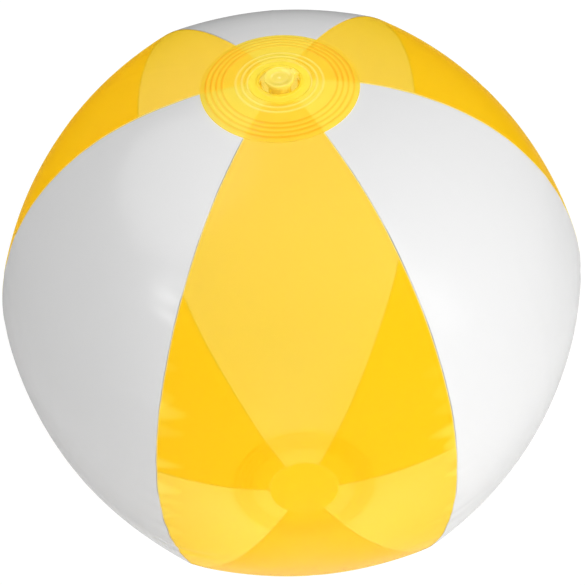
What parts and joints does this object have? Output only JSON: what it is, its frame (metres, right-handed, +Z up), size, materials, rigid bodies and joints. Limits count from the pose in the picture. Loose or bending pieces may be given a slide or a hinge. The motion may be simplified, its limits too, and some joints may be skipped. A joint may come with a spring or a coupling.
{
  "type": "beach ball",
  "caption": "Inflatable ball of welded see-through yellow and white film panels with round end caps, a pop-out air valve, its plug on a strap and a non-return flap.",
  "frame": {"origin": "middle of the flat patch that the ball stands on, under the bottom cap", "axes": "+Z up through both poles, with the valve on top; -Y towards the front yellow panel"},
  "size_m": [0.264, 0.2546, 0.2618],
  "materials": {
    "yellow_film": "glossy see-through yellow PVC film",
    "white_film": "glossy solid white PVC film",
    "valve_plastic": "soft glossy see-through yellow PVC moulding"
  },
  "bodies": {
    "shell": {"panel_yellow_front": "yellow_film", "panel_yellow_right": "yellow_film", "panel_yellow_left": "yellow_film", "panel_white_right": "white_film", "panel_white_back": "white_film", "panel_white_left": "white_film", "top_cap": "yellow_film", "bottom_cap": "yellow_film", "valve_flange": "valve_plastic", "valve_skirt": "valve_plastic"},
    "stem": {"valve_stem": "valve_plastic"},
    "plug": {"valve_plug": "valve_plastic"},
    "flap": {"check_flap": "valve_plastic"}
  },
  "joints": [
    {"name": "stem_pop", "type": "slide", "parent": "shell", "child": "stem", "axis": [0, 0, 1], "range_m": [0, 0.016], "deforming": ["valve_skirt"]},
    {"name": "plug_swing", "type": "hinge", "parent": "stem", "child": "plug", "pos_m": [0.00658, 0.0038, 0.26094], "axis": [-0.5, 0.866, 0], "range_deg": [0, 140]},
    {"name": "flap_swing", "type": "hinge", "parent": "stem", "child": "flap", "pos_m": [-0.00459, -0.00265, 0.2481], "axis": [-0.5, 0.866, 0], "range_deg": [0, 60], "stiffness_Nm_per_rad": 0.0001, "springref_deg": -17.19}
  ]
}
